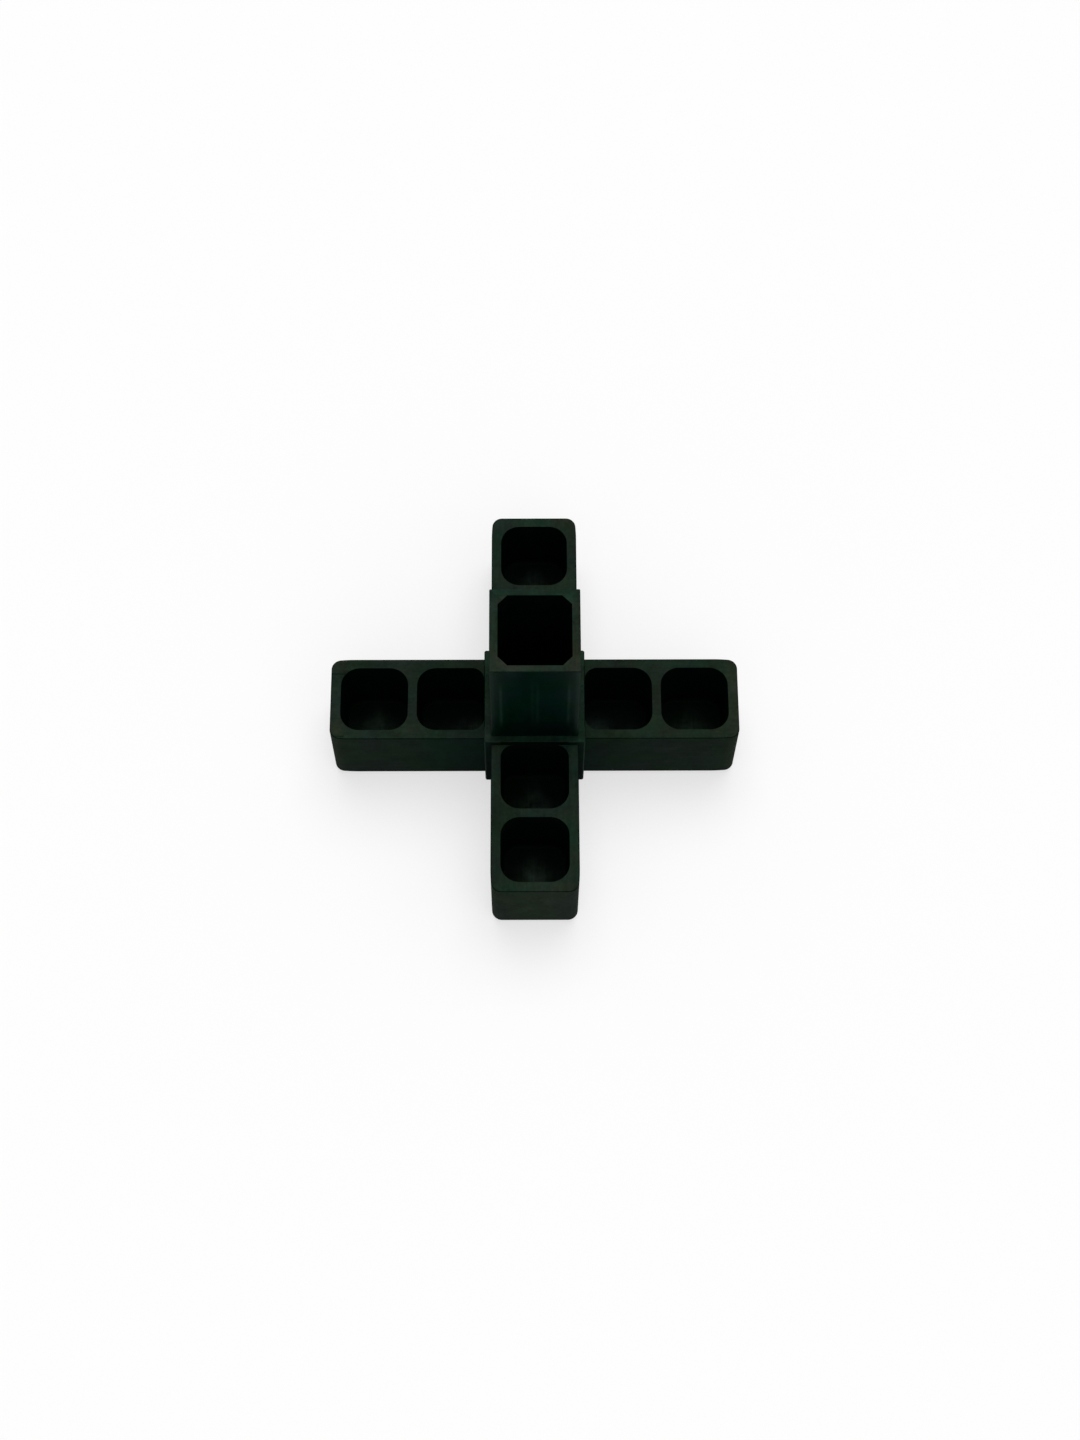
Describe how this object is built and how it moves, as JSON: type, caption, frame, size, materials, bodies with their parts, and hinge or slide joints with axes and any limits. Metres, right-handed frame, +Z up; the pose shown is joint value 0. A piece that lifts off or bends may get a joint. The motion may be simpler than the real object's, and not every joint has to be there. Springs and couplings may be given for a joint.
{
  "type": "five way square tube connector",
  "caption": "Moulded plastic push-in connector: level cross arms and an upright square post meet at a cube-shaped hub, each ending in the end of a square tube.",
  "frame": {"origin": "centre of the hub's bottom face", "axes": "+Z up the post; X and Y along the four level arms"},
  "size_m": [0.1014, 0.1014, 0.063],
  "materials": {
    "black_plastic": "satin moulded black plastic with a faint green cast"
  },
  "bodies": {
    "root": {"connector": "black_plastic"}
  },
  "joints": []
}
